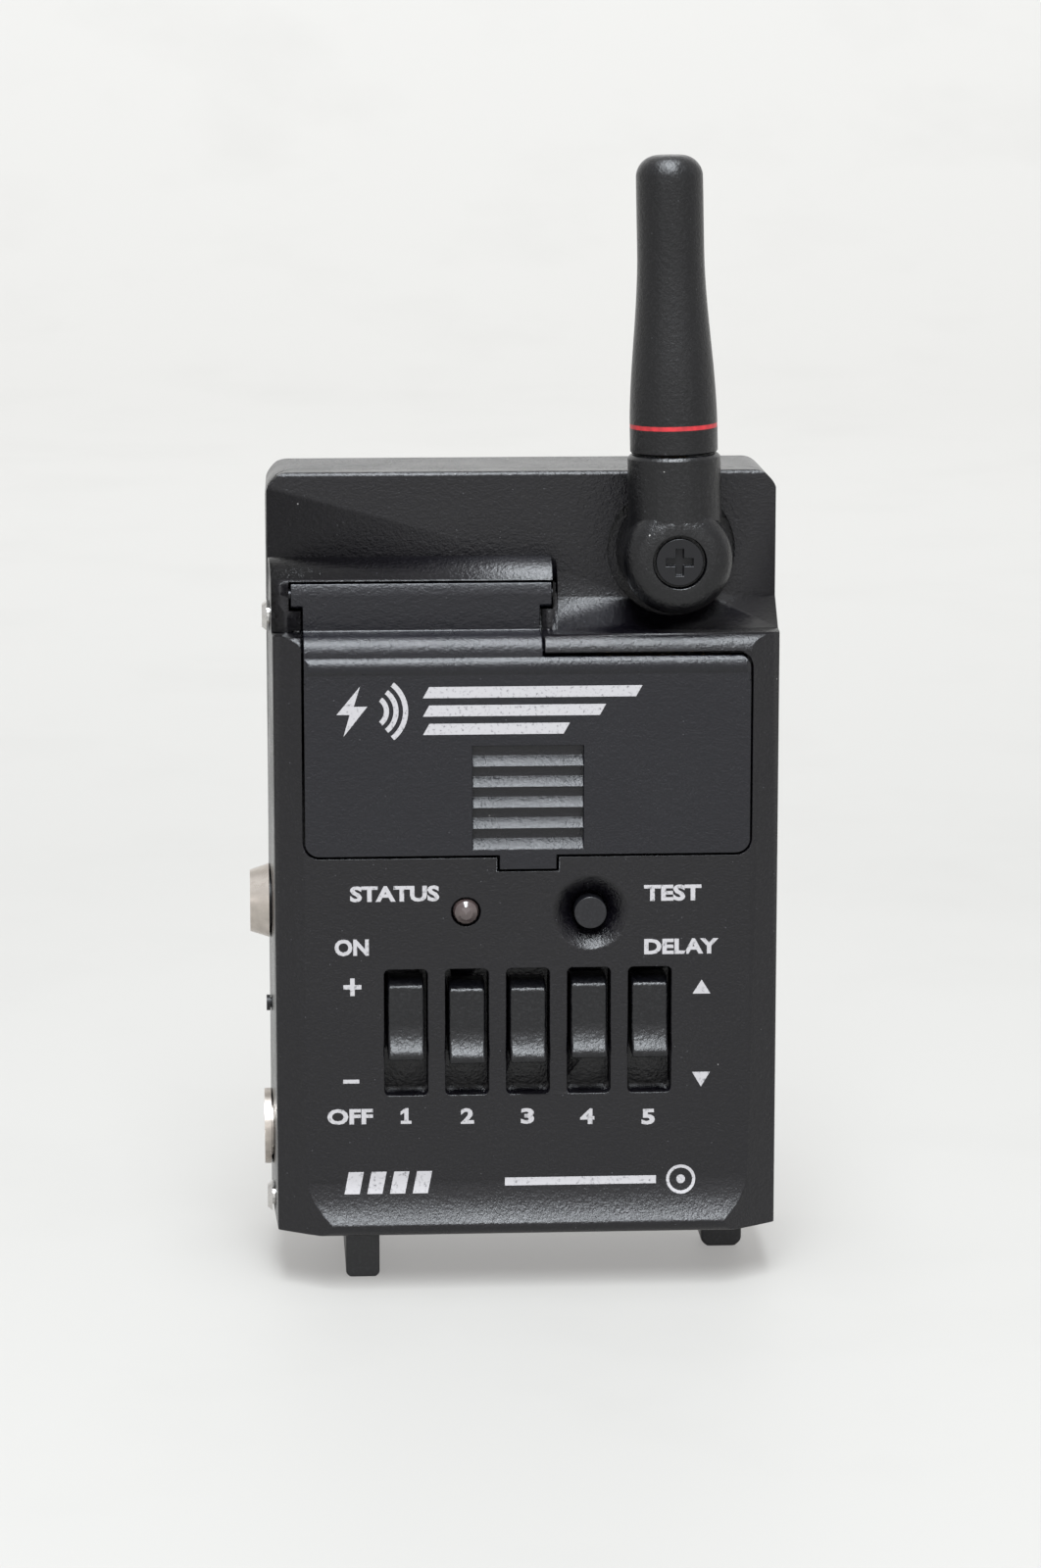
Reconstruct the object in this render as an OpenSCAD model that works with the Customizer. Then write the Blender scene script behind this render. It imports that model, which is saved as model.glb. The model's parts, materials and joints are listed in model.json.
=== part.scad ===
// Wireless flash trigger: a pocket radio receiver for studio flash.
// Front moulding with battery door, folding stub antenna, test button and
// five slide switches; rear moulding, boards, cells and sockets inside.
// X is to the right seen from the front, +Y runs to the back, +Z is up.
// The origin is the bottom centre of the bounding box, on the table.

/* [Case] */
// Width across the front, at the outer edge of the side bevels
body_w = 56; // [50:0.5:66]
// Height of the case, without the stand
body_h = 84.5; // [80:0.5:96]
// Depth from the front face to the back
body_d = 27.2; // [25.5:0.1:33]
// Gap under the case
stand_h = 6.1; // [4:0.1:9]
// Wall thickness of both mouldings
wall = 1.6; // [1.2:0.1:2]
// Radius of the two upper corners, seen from the front
corner_r = 2.9; // [1.5:0.1:4]
// Radius of the two lower corners, seen from the front
low_corner_r = 0.9; // [0.5:0.1:3]
// How far the case sides spread from the bevel to the parting line
side_draft = 0.65; // [0:0.05:1]
// Width of each side bevel
bevel_w = 3.3; // [2:0.1:4]
// Depth of the antenna deck behind the front face
deck_y = 11.5; // [11.5:0.1:13]
// Distance from the top of the case down to the shelf in front of the deck
shelf_drop = 16.9; // [16:0.1:20]
// How far the bottom lip flares forward
lip_out = 1.8; // [0.5:0.1:2]

/* [Battery door] */
// Width of the door
door_w = 49.3; // [49:0.1:50]
// Height of the door's main panel
door_h = 22.3; // [22.1:0.1:24]
// Right-hand end of the hinge leaf, from the case's middle
leaf_end = 1.6; // [-4:0.1:3]
// Gap round the door
door_gap = 0.25; // [0.15:0.01:0.35]
// Thickness of the door panel
door_t = 2; // [1.6:0.1:2.4]
// Number of steps in the finger grip
rib_count = 5; // [3:1:6]
// Radius of the hinge pin
pin_r = 0.75; // [0.6:0.05:0.8]
// Clearance between hinge pin and door
pin_fit = 0.05; // [0.03:0.01:0.1]

/* [Antenna] */
// Height of the whip's tip above the pivot
whip_len = 44.2; // [36:0.1:60]
// Radius of the whip at its base
whip_r = 4.85; // [4:0.05:4.95]
// Radius of the whip near its tip
tip_r = 3.68; // [3:0.02:4]
// Radius of the round knuckle
knuckle_r = 6.1; // [5.9:0.05:6.6]
// Radius of the knuckle's upright sleeve
sleeve_r = 5.15; // [5.05:0.05:5.3]
// Pivot's distance from the case's middle
pivot_x = 16.75; // [15:0.05:18]
// How far the antenna leans to the left, in degrees
lean = 1.3; // [0:0.1:5]

/* [Controls] */
// Spacing of the slide switches
switch_pitch = 6.8; // [6.4:0.05:7.4]
// Width of a switch slot
slot_w = 4.83; // [4.6:0.01:5.2]
// Height of a switch slot
slot_h = 14.4; // [13:0.1:16]
// Travel of a slide switch
switch_travel = 2; // [1.5:0.1:2.5]
// Gap between a switch cap and the sides of its slot
cap_gap = 0.4; // [0.3:0.02:0.6]
// Radius of the test button
button_r = 1.8; // [1.5:0.05:2.2]
// Travel of the test button
button_travel = 0.5; // [0.3:0.05:0.6]
// Radius of the status lamp
led_r = 1.45; // [1.2:0.05:1.6]

/* [Hidden] */

$fn = 48;
e = 0.01;                               // overshoot of cutting tools

// Case levels
half_w = body_w/2;
z0 = stand_h;                           // underside of the case
z1 = z0 + body_h;                       // top of the case
side_w = half_w + side_draft;           // half width at the parting line
split_y = deck_y + 3;                   // parting plane of the two mouldings
shelf_z = z1 - shelf_drop;              // shelf in front of the deck
slope_h = 2.75;                         // slope between deck and shelf, height
slope_d = 6.3;                          // slope between deck and shelf, depth
ridge_r = 1.9;                          // rounding of the shelf's front edge
inner_r = 0.2;                          // fillet at the foot of the hinge barrel
lip_h = 6.4;                            // height of the flared lip
lip_r = (pow(lip_h - 1.4, 2) + lip_out*lip_out)/(2*lip_out);

// Hinge barrel on the left half
barrel_r = 4;
barrel_y = deck_y - 2.7;
barrel_z = shelf_z + 3.8;
barrel_wall = barrel_y - barrel_r;      // upright face below the barrel
ear = 1.3;                              // width of the ears at the ends of the leaf
barrel_end = leaf_end + ear + 0.7;
knuckle_leaf_r = 1.35;
hinge_y = barrel_wall + knuckle_leaf_r;
hinge_z = barrel_z + 0.15;
leaf_top = hinge_z + knuckle_leaf_r;
leaf_swing = norm([hinge_y - barrel_y + sqrt(pow(barrel_r, 2) - pow(leaf_top - barrel_z, 2)), knuckle_leaf_r]);

// Battery door
leaf_t = 1.5;
door_front = -0.25;                     // front of the door's main panel
door_top = shelf_z - 2.1;
door_bot = door_top - door_h;
bead_r = 1.2;                           // bead along the panel's upper edge
bead_out = 0.3;
bead_y = door_front - bead_out + bead_r;
door_slope = (hinge_y - door_front)/(hinge_z - door_top);  // square to the line from the hinge to the panel's edge
door_x = door_w/2;
latch_w = 6.3;
latch_h = 1.6;
grip_w = 12.3;
rib_pitch = 2.33;
rib_flat = 1.22;                        // upright part of each grip step
rib_depth = 0.9;
grip_base = door_bot + 0.65;

// Battery bay
cell_r = 5.25;
cell_len = 44.5;
bay_wall = 1.2;
bay_x = cell_len/2 + 2.1;
bay_top = door_top - 0.3;
bay_bot = door_bot + 0.3;
cell_y = door_front + door_t + 0.35 + cell_r;
bay_back = cell_y + cell_r + 0.15;
cell_z = (bay_top + bay_bot)/2;
cell_dz = cell_r + 0.05;

// Antenna
deck_back = max(bay_back + bay_wall, deck_y + 2.4);  // inner face of the deck's wall
whip_y = deck_y - 5.55;                 // antenna axis
pivot_z = z1 - 8.9;
knuckle_front = deck_y - 10.9;
knuckle_edge = 2.8;                     // rounding of the knuckle's front edge
pocket_r = knuckle_r + 1.1;
pocket_y = deck_y + 1;                  // floor of the round pocket
washer_t = 0.4;
knuckle_back = pocket_y - washer_t;
sleeve_h = 11.5;
screw_r = 1.5;
head_r = 2.6;
head_y = knuckle_front + 1.1;

// Controls
slot_y = 4.2;                           // depth of the switch slots
slot_z = door_bot - 20.1;               // middle of the slots
switch_x = [-2, -1, 0, 1, 2]*switch_pitch;
cap_drop = [0, 0.45, 0.45, 0, 0];       // two switches sit a little short of their stop
cap_h = 8.2;
cap_top = slot_z + slot_h/2 - 1.95;
cap_top_h = 0.75;                       // height of the sloped top end of a cap
cap_top_d = 1.6;                        // depth of that slope
cap_flat = 0.1;                         // front of the flat part of a cap
cap_land = -1.2;                        // front of the thumb land
cap_scoop = 4.4;                        // radius of the scoop between them
led_x = -6.9;
led_z = door_bot - 6.4;
button_x = 6.95;
button_z = door_bot - 6.65;
dish_r = 4.2;
dish_depth = 1.7;

// Boards
board_t = 1.6;
control_y = 9.6;                        // front of the lower board
radio_y = split_y + 2;                  // front of the upper board
board_x = half_w - 4.2;
boards_z = door_bot - 1.8;

// Left-hand side fittings
jack_z = door_bot - 7.6;                // between the door and the switches
jack_y = 13.2;
jack_r = 1.8;
jack_len = 15;
nut_out = 2.15;
stud_z = 30;
pc_z = 15.3;
pc_end = -half_w + wall + 0.9;            // inner end of the round terminal
side_screw_z = [shelf_z + 1.2, z0 + 1.9];

// Stand
rail_x = -18.5;
rail_y = 3.5;
rail_len = 20;
rail_w = 3.8;
foot_x = 23.2;
foot_y = 13.2;
foot_w = 4.7;

// Middle of the bounding box, so that the origin is its bottom centre
shift_x = (side_w + nut_out - side_w)/2;
shift_y = -(body_d - lip_out)/2;

module place() { translate([shift_x, shift_y, 0]) children(); }

// ---- helpers: 2D shapes drawn in a plane and extruded square to it ----

module rrect(w, h, r) {
    square([w - 2*r, h], center = true);
    square([w, h - 2*r], center = true);
    for (i = [-1, 1], j = [-1, 1]) translate([i*(w/2 - r), j*(h/2 - r)]) circle(r);
}

// A shape drawn in X and Z, from y0 to y1
module xz(y0, y1) { translate([0, y1, 0]) rotate([90, 0, 0]) linear_extrude(y1 - y0) children(); }

// A shape drawn in Y and Z, from x0 to x1
module yz(x0, x1) { translate([x0, 0, 0]) rotate([90, 0, 90]) linear_extrude(x1 - x0) children(); }

// A shape drawn in X and Y, from low to high
module xy(low, high) { translate([0, 0, low]) linear_extrude(high - low) children(); }

module box(x0, x1, y0, y1, low, high) {
    translate([x0, y0, low]) cube([x1 - x0, y1 - y0, high - low]);
}

module ycyl(x, z, y0, y1, r) { translate([x, y1, z]) rotate([90, 0, 0]) cylinder(r = r, h = y1 - y0); }

module xcyl(y, z, x0, x1, r, r2 = -1) {
    translate([x0, y, z]) rotate([0, 90, 0]) cylinder(r1 = r, r2 = r2 < 0 ? r : r2, h = x1 - x0);
}

// ---- case outline ----

// Seen from above: bevelled front corners, drafted sides, rounded back
module plan() {
    slope = bevel_w/2.2;
    front = half_w - bevel_w - slope*lip_out;
    polygon([
        [-front, -lip_out], [front, -lip_out], [half_w, 2.2], [side_w, split_y],
        [side_w - 0.2, body_d - 2], [side_w - 2.2, body_d],
        [2.2 - side_w, body_d], [0.2 - side_w, body_d - 2],
        [-side_w, split_y], [-half_w, 2.2]
    ]);
}

// Seen from the front: the case with its rounded corners
module corners(y0, y1) {
    xz(y0, y1) translate([0, z0]) {
        translate([-side_w, low_corner_r]) square([2*side_w, body_h - low_corner_r - corner_r]);
        translate([low_corner_r - side_w, 0]) square([2*(side_w - low_corner_r), body_h/2]);
        translate([corner_r - side_w, 0]) square([2*(side_w - corner_r), body_h]);
        for (i = [-1, 1]) {
            translate([i*(side_w - low_corner_r), low_corner_r]) circle(low_corner_r);
            translate([i*(side_w - corner_r), body_h - corner_r]) circle(corner_r);
        }
    }
}

// Side profile of the front moulding's lower block, with the flared lip
module block_profile() {
    difference() {
        translate([-lip_out, z0]) square([split_y + lip_out, shelf_z - z0]);
        translate([-lip_out - e, z0 + lip_h]) square([lip_out + e, body_h]);
        translate([-lip_r, z0 + lip_h]) circle(lip_r, $fn = 180);
        // rounded lower edge of the lip and rounded front edge of the shelf
        translate([-lip_out - e, z0 - e]) difference() {
            square(1.2 + e);
            translate([1.2 + e, 1.2 + e]) circle(1.2);
        }
        translate([-e, shelf_z - ridge_r]) difference() {
            square(ridge_r + e);
            translate([ridge_r + e, 0]) circle(ridge_r);
        }
    }
}

// Deck and the slope that joins it to the shelf
module deck_profile() {
    difference() {
        polygon([
            [split_y, shelf_z - e], [deck_y - slope_d, shelf_z - e], [deck_y - slope_d, shelf_z],
            [deck_y, shelf_z + slope_h], [deck_y, z1], [split_y, z1]
        ]);
        translate([deck_y - e, z1 - 0.5]) difference() {
            square(0.5 + e);
            translate([0.5 + e, 0]) circle(0.5);
        }
    }
}

// Fillet where the barrel's upright face meets the shelf
module inner_fillet() {
    translate([barrel_wall - inner_r, shelf_z - e]) difference() {
        square(inner_r + e);
        translate([0, inner_r + e]) circle(inner_r);
    }
}

// Hinge barrel and the upright face below it
module barrel_profile() {
    translate([barrel_y, barrel_z]) circle(barrel_r);
    translate([barrel_wall, shelf_z - e]) square([deck_y + 1 - barrel_wall, barrel_z - shelf_z + e]);
    inner_fillet();
}

// Room for the door's leaf, and for its swing
module leaf_room() {
    translate([-3, shelf_z - leaf_t - 0.2]) square([3 + barrel_wall + leaf_t + 0.2, hinge_z - shelf_z + leaf_t + 0.2]);
    translate([-3, door_top - 0.5]) square([3 + leaf_t + 0.2, 8]);
    translate([hinge_y, hinge_z]) circle(leaf_swing + 0.15);
}

// Room for the ears at the ends of the leaf
module ear_room() {
    translate([hinge_y, hinge_z]) circle(leaf_swing + 0.15);
    translate([barrel_wall - 1, hinge_z - knuckle_leaf_r - 0.25]) square([knuckle_leaf_r + 1.4, knuckle_leaf_r + 0.25]);
}

// ---- front moulding ----

module front_solid() {
    intersection() {
        union() {
            yz(-side_w, side_w) block_profile();
            yz(-side_w, side_w) deck_profile();
            yz(-side_w, barrel_end - 0.6) barrel_profile();
            xcyl(barrel_y, barrel_z, barrel_end - 0.61, barrel_end, barrel_r, barrel_r - 0.5);
            box(barrel_end - 0.61, barrel_end, barrel_wall + 0.4, deck_y + 1, shelf_z - e, barrel_z);
        }
        xy(z0, z1) plan();
        corners(-lip_out - 1, split_y);
    }
}

// Screw bosses, at the four corners of the case
boss_x = half_w - 5.2;
boss_z = [z0 + 4.4, z1 - 4.6];
boss_r = 2.6;

module front_case() color([0.16, 0.16, 0.17]) place() difference() {
    union() {
        difference() {
            front_solid();
            // room for the control board, below the battery bay
            difference() {
                box(-half_w + wall, half_w - wall, wall + 0.4, split_y + e, z0 + wall, door_bot - 1.4);
                box(-switch_pitch*2 - 5, switch_pitch*2 + 5, 0, slot_y + 0.6, slot_z - slot_h/2 - 1.2, slot_z + slot_h/2 + 1.2);
                ycyl(button_x, button_z, 0, 3.4, dish_r + 1, $fn = 12);
            }
            // room for the radio board, behind the battery bay and behind the deck
            box(-half_w + wall, half_w - wall, bay_back + bay_wall, split_y + e, door_bot - 1.5, shelf_z);
            box(-half_w + wall, half_w - wall, deck_back, split_y + e, shelf_z - 1, z1 - wall);
            // battery bay
            box(-bay_x, bay_x, -1, bay_back, bay_bot, bay_top);
        }
        // bosses for the case screws
        for (i = [-1, 1]) ycyl(i*boss_x, boss_z[0], 1, split_y, boss_r, $fn = 12);
        for (i = [-1, 1]) ycyl(i*boss_x, boss_z[1], deck_y + 0.5, split_y, boss_r, $fn = 12);
        // seats for the lamp and for the antenna insert
        ycyl(led_x, led_z, 1, 3.4, led_r + 1, $fn = 12);
        ycyl(pivot_x, pivot_z, deck_y + 0.5, split_y, 4.2, $fn = 12);
    }
    // door opening: panel, leaf and latch notch
    xz(-1, door_front + door_t + 0.3) door_outline(door_gap);
    yz(-door_x - door_gap, leaf_end + door_gap) leaf_room();
    yz(-door_x - ear - door_gap, leaf_end + ear + 0.15) ear_room();
    // hinge pin seats
    xcyl(hinge_y, hinge_z, -door_x - ear - 1.3, leaf_end + ear + 0.45, pin_r);
    // round pocket and insert hole in the deck
    ycyl(pivot_x, pivot_z, deck_y - 8, pocket_y, pocket_r);
    ycyl(pivot_x, pivot_z, pocket_y - e, split_y + e, 2.3);
    // switch slots
    for (x = switch_x) translate([x, 0, slot_z]) {
        xz(-1, slot_y) rrect(slot_w, slot_h, 0.6);
        xz(slot_y - e, slot_y + 1) square([2.1, 1.6 + switch_travel + 1.2], center = true);
    }
    // lamp hole, dish and button hole
    ycyl(led_x, led_z, -1, 4, led_r + 0.15);
    translate([button_x, dish_depth, button_z]) rotate([90, 0, 0])
        cylinder(r1 = button_r + 0.15, r2 = dish_r + (dish_r - button_r - 0.15)/dish_depth, h = dish_depth + 1);
    ycyl(button_x, button_z, -1, 4, button_r + 0.15);
    // holes for the case screws
    for (i = [-1, 1]) ycyl(i*boss_x, boss_z[0], split_y - 7, split_y + e, 0.9, $fn = 12);
    for (i = [-1, 1]) ycyl(i*boss_x, boss_z[1], split_y - 2, split_y + e, 0.9, $fn = 12);
    side_holes();
    stand_slots();
}

// ---- rear moulding ----

module rear_case() color([0.15, 0.15, 0.16]) place() difference() {
    union() {
        difference() {
            intersection() {
                yz(-side_w, side_w) rear_profile();
                xy(z0, z1) plan();
                corners(split_y, body_d);
            }
            box(-half_w + wall, half_w - wall, split_y - e, body_d - wall, z0 + wall, z1 - wall);
        }
        for (i = [-1, 1], z = boss_z) ycyl(i*boss_x, z, split_y, body_d - 1, boss_r + 0.3, $fn = 12);
    }
    for (i = [-1, 1], z = boss_z) {
        ycyl(i*boss_x, z, split_y - e, body_d + e, 1.25, $fn = 12);
        ycyl(i*boss_x, z, split_y + 3, body_d + e, 2.3);
    }
    // shallow panel for the label
    xz(body_d - 0.4, body_d + e) translate([0, (z0 + z1)/2 + 4]) rrect(38, 44, 2);
    side_holes();
    stand_slots();
}

module rear_profile() {
    difference() {
        translate([split_y, z0]) square([body_d - split_y, body_h]);
        for (s = [0, 1]) translate([body_d - 2 + e, s == 0 ? z0 - e : z1 - 2 + e]) difference() {
            square(2);
            translate([0, s == 0 ? 2 : 0]) circle(2);
        }
    }
}

// Holes in the left-hand side, shared by both mouldings
module side_holes() {
    xcyl(jack_y, jack_z, -side_w - 1, -half_w + wall + 1, 3);
    xcyl(jack_y, pc_z, -side_w - 1, -half_w + wall + 1, 3.4);
    xcyl(jack_y - 1, stud_z, -side_w - 1, -half_w + wall + 1, 0.6, $fn = 12);
    for (z = side_screw_z) xcyl(jack_y - 3.5, z, -side_w - 1, -half_w + wall + 4, 1.0, $fn = 12);
}

// Slots the stand pieces are pushed into
module stand_slots() {
    box(rail_x - 1, rail_x + 1, rail_y + 3, rail_y + rail_len - 3, z0 - 1, z0 + 1);
    box(foot_x - 1, foot_x + 1, foot_y + 1.5, foot_y + 3.5, z0 - 1, z0 + 1);
}

// ---- battery door ----

// Front view of the door's main panel, grown by a gap
module door_outline(gap) {
    r = 1.6 + gap;
    w = door_w + 2*gap;
    h = door_h + 2*gap;
    translate([0, (door_top + door_bot)/2]) rrect(w, h, r);
    translate([-w/2, (door_top + door_bot)/2]) square([w/2, h/2]);
    translate([-latch_w/2 - gap, door_bot - latch_h - gap]) square([latch_w + 2*gap, latch_h + 4]);
}

// Side view of the panel: a bead along the upper edge, square elsewhere
module panel_profile() {
    difference() {
        translate([door_front, door_bot - latch_h - 1]) square([door_t, door_top - door_bot + latch_h + 1]);
        translate([door_front - e, door_top - bead_r]) square([bead_y - door_front + e, bead_r + e]);
    }
    translate([bead_y, door_top - bead_r]) circle(bead_r);
}

// Side view of the leaf that runs back from the panel and up to the hinge
module leaf_profile() {
    difference() {
        union() {
            translate([0, shelf_z - leaf_t]) square([barrel_wall + leaf_t, leaf_t]);
            translate([0, door_top - 1]) square([leaf_t, shelf_z - door_top + 0.5]);
            translate([barrel_wall, shelf_z - leaf_t]) square([leaf_t, hinge_z - shelf_z + leaf_t]);
            inner_fillet();
        }
        translate([-e, shelf_z - ridge_r]) difference() {
            square(ridge_r + e);
            translate([ridge_r + e, 0]) circle(ridge_r);
        }
    }
    hinge_end();
}

// The leaf's upper end, flush with the barrel
module hinge_end() {
    translate([hinge_y, hinge_z]) circle(knuckle_leaf_r);
    intersection() {
        translate([barrel_y, barrel_z]) circle(barrel_r);
        translate([barrel_wall, barrel_z - 0.3]) square([knuckle_leaf_r, leaf_top - barrel_z + 0.3]);
    }
}

// The ears: the same end, closed below the pin
module ear_profile() {
    hinge_end();
    intersection() {
        translate([barrel_wall, hinge_z - knuckle_leaf_r]) square(knuckle_leaf_r);
        translate([hinge_y, hinge_z]) circle(leaf_swing);
    }
}

module battery_door() color([0.17, 0.17, 0.19]) place() difference() {
    union() {
        difference() {
            intersection() {
                xz(door_front - 2, door_front + door_t) door_outline(0);
                yz(-door_x - 1, door_x + 1) panel_profile();
            }
            // bevelled ends of the bead
            for (i = [-1, 1]) translate([i*door_x, door_front - 0.4, door_top - bead_r])
                rotate([0, 0, 45]) cube([0.9, 0.9, 2*bead_r + 1], center = true);
            // sloped inner edge, so that the panel swings clear of the ridge above it
            yz(leaf_end, door_x + 1) polygon([
                [door_front + 0.35, door_top + 1], [door_front + 0.35, door_top + 0.02],
                [door_front + door_t + 1, door_top - (door_t + 0.65)*door_slope], [door_front + door_t + 1, door_top + 1]
            ]);
            // shallow relief behind the panel
            xz(door_front + 1.4, door_front + door_t + e) translate([0, (door_top + door_bot)/2 - 1]) square([40, 12], center = true);
        }
        yz(-door_x, leaf_end) leaf_profile();
        yz(-door_x - ear, leaf_end + ear) ear_profile();
    }
    // finger grip: steps that go in square and slope out towards the bottom
    yz(-grip_w/2, grip_w/2) for (i = [0:rib_count - 1]) translate([door_front, grip_base + i*rib_pitch])
        polygon([[-1, 0], [0, 0], [rib_depth, rib_pitch - rib_flat], [rib_depth, rib_pitch], [-1, rib_pitch]]);
    xcyl(hinge_y, hinge_z, -door_x - ear - 1, leaf_end + ear + 1, pin_r + pin_fit);
}

module door_hinge_pin() color([0.7, 0.7, 0.72]) place()
    xcyl(hinge_y, hinge_z, -door_x - ear - 1.2, leaf_end + ear + 0.4, pin_r);

// ---- cells and contacts ----

module battery_cells() color([0.75, 0.55, 0.2]) place()
    for (i = [-1, 1]) translate([i*1.6, cell_y, cell_z + i*cell_dz]) rotate([0, i*90, 0]) {
        translate([0, 0, -cell_len/2]) cylinder(r = cell_r - 0.05, h = cell_len - 0.8);
        translate([0, 0, cell_len/2 - 0.8 - e]) cylinder(r = 1.9, h = 0.8 + e);
    }

// Conical springs against the flat ends of the cells
module contact_springs() color([0.78, 0.78, 0.76]) place()
    for (i = [-1, 1]) translate([-i*(bay_x - 0.05), cell_y, cell_z + i*cell_dz]) rotate([0, i*90, 0]) {
        translate([-4, -4.4, 0]) cube([8, 8.8, 0.4]);
        for (k = [0:3]) translate([0, 0, 0.4 + 0.6*k]) difference() {
            cylinder(r = 3.6 - 0.25*k, h = 0.62, $fn = 12);
            translate([0, 0, -1]) cylinder(r = 2.9 - 0.25*k, h = 3, $fn = 12);
        }
    }

module contact_plates() color([0.78, 0.78, 0.76]) place()
    for (i = [-1, 1]) translate([i*(bay_x - 0.05), cell_y, cell_z + i*cell_dz]) rotate([0, -i*90, 0]) {
        translate([-4, -4.4, 0]) cube([8, 8.8, 0.4]);
        cylinder(r1 = 2.4, r2 = 2, h = 0.4);
    }

// ---- antenna ----

module upright() { translate([pivot_x, whip_y, pivot_z]) rotate([0, -lean, 0]) children(); }

module antenna_knuckle() color([0.15, 0.15, 0.16]) place() difference() {
    union() {
        // round head, turned about the pivot, with a rounded front edge
        translate([pivot_x, 0, pivot_z]) rotate([-90, 0, 0]) rotate_extrude() polygon(concat(
            [[0, knuckle_back], [0, knuckle_front], [knuckle_r - knuckle_edge, knuckle_front]],
            [for (a = [22.5:22.5:67.5]) knuckle_edge*[sin(a), -cos(a)] + [knuckle_r - knuckle_edge, knuckle_front + knuckle_edge]],
            [[knuckle_r, knuckle_front + knuckle_edge], [knuckle_r, knuckle_back]]
        ));
        upright() difference() {
            cylinder(r = sleeve_r, h = sleeve_h);
            translate([0, 0, sleeve_h - 0.4]) difference() {
                cylinder(r = sleeve_r + 1, h = 1);
                cylinder(r1 = sleeve_r, r2 = sleeve_r - 1, h = 1);
            }
        }
    }
    // counterbore and hole for the pivot screw
    ycyl(pivot_x, pivot_z, knuckle_front - 1, head_y, head_r + 0.35);
    ycyl(pivot_x, pivot_z, 0, pocket_y, screw_r + 0.05);
    // socket for the whip's spigot
    upright() translate([0, 0, sleeve_h - 4]) cylinder(r = 3.2, h = 5);
}

// Side profile of the whip: slender tip, smooth flare, domed end
flare_low = 14;
flare_high = whip_len - 10.2;
function flare(t) = t*t*(3 - 2*t);
function whip_at(h) = h <= flare_low ? whip_r
    : h >= flare_high ? tip_r
    : whip_r - (whip_r - tip_r)*flare((h - flare_low)/(flare_high - flare_low));

module whip_profile() {
    base = sleeve_h + 0.45;
    steps = 3;
    dome = 2.4;
    polygon(concat(
        [[0, base], [whip_r, base]],
        [for (i = [0:steps]) let (h = flare_low + (flare_high - flare_low)*i/steps) [whip_at(h), h]],
        [for (a = [0:30:60]) [tip_r - dome + dome*cos(a), whip_len - dome - 0.25 + dome*sin(a)]],
        [[tip_r - dome, whip_len - 0.12], [0, whip_len]]
    ));
}

module antenna_whip() color([0.15, 0.15, 0.16]) place() upright() difference() {
    union() {
        rotate_extrude() whip_profile();
        translate([0, 0, sleeve_h - 3.95]) cylinder(r = 3.15, h = 5);
    }
    // groove for the ring and bore for the element
    translate([0, 0, ring_h]) difference() {
        cylinder(r = whip_r + 1, h = 0.5);
        translate([0, 0, -1]) cylinder(r = whip_at(ring_h) - 0.35, h = 3);
    }
    translate([0, 0, sleeve_h - 5]) cylinder(r = 1.5, h = whip_len - sleeve_h);
}

ring_h = 14.4;

module antenna_ring() color([0.65, 0.12, 0.15]) place() upright() translate([0, 0, ring_h]) difference() {
    cylinder(r = whip_at(ring_h) - 0.02, h = 0.5);
    translate([0, 0, -1]) cylinder(r = whip_at(ring_h) - 0.35, h = 3);
}

module antenna_element() color([0.75, 0.6, 0.3]) place() upright()
    translate([0, 0, sleeve_h - 3.9]) cylinder(r = 1.5, h = whip_len - sleeve_h - 2);

module antenna_pivot_screw() color([0.1, 0.1, 0.1]) place() difference() {
    union() {
        ycyl(pivot_x, pivot_z, head_y - 0.9, head_y, head_r);
        ycyl(pivot_x, pivot_z, head_y - e, split_y - 0.5, screw_r);
    }
    for (a = [0, 90]) translate([pivot_x, head_y - 0.9, pivot_z]) rotate([0, a, 0]) cube([3, 1.6, 0.85], center = true);
}

module antenna_washer() color([0.6, 0.6, 0.62]) place() difference() {
    ycyl(pivot_x, pivot_z, knuckle_back, pocket_y, 4.5);
    ycyl(pivot_x, pivot_z, knuckle_back - 1, pocket_y + 1, screw_r + 0.1);
}

module antenna_insert() color([0.75, 0.6, 0.3]) place() difference() {
    ycyl(pivot_x, pivot_z, pocket_y, split_y, 2.3);
    ycyl(pivot_x, pivot_z, pocket_y - 1, split_y + 1, screw_r);
}

// ---- slide switches ----

// Side view of a cap: sloped top end, flat, then a scoop that rises to a thumb land
module cap_profile() {
    rise = cap_flat - cap_land;
    scoop_h = sqrt(pow(cap_scoop, 2) - pow(cap_scoop - rise, 2));
    flat_h = cap_h - scoop_h - 0.85;
    difference() {
        translate([cap_land, -cap_h]) square([slot_y - 0.15 - cap_land, cap_h]);
        translate([cap_land - e, -flat_h]) square([rise + e, flat_h + e]);
        translate([cap_flat - cap_scoop, -flat_h]) intersection() {
            circle(cap_scoop, $fn = 120);
            translate([0, -scoop_h]) square([cap_scoop, scoop_h + e]);
        }
    }
    polygon([
        [cap_flat, -e], [cap_flat, 0], [cap_flat + cap_top_d, cap_top_h],
        [slot_y - 0.15, cap_top_h], [slot_y - 0.15, -e]
    ]);
}

module cap(i) {
    z = cap_top - cap_drop[i];
    place() translate([switch_x[i], 0, z]) {
        yz(-slot_w/2 + cap_gap, slot_w/2 - cap_gap) cap_profile();
        // stem into the switch housing
        translate([-0.9, slot_y - 0.3, slot_z - z + switch_travel/2 - 0.7 - cap_drop[i]]) cube([1.8, 2.3, 1.4]);
    }
}

module zone_switch_1() color([0.13, 0.13, 0.14]) cap(0);
module zone_switch_2() color([0.13, 0.13, 0.14]) cap(1);
module zone_switch_3() color([0.13, 0.13, 0.14]) cap(2);
module zone_switch_4() color([0.13, 0.13, 0.14]) cap(3);
module mode_switch() color([0.13, 0.13, 0.14]) cap(4);

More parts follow.
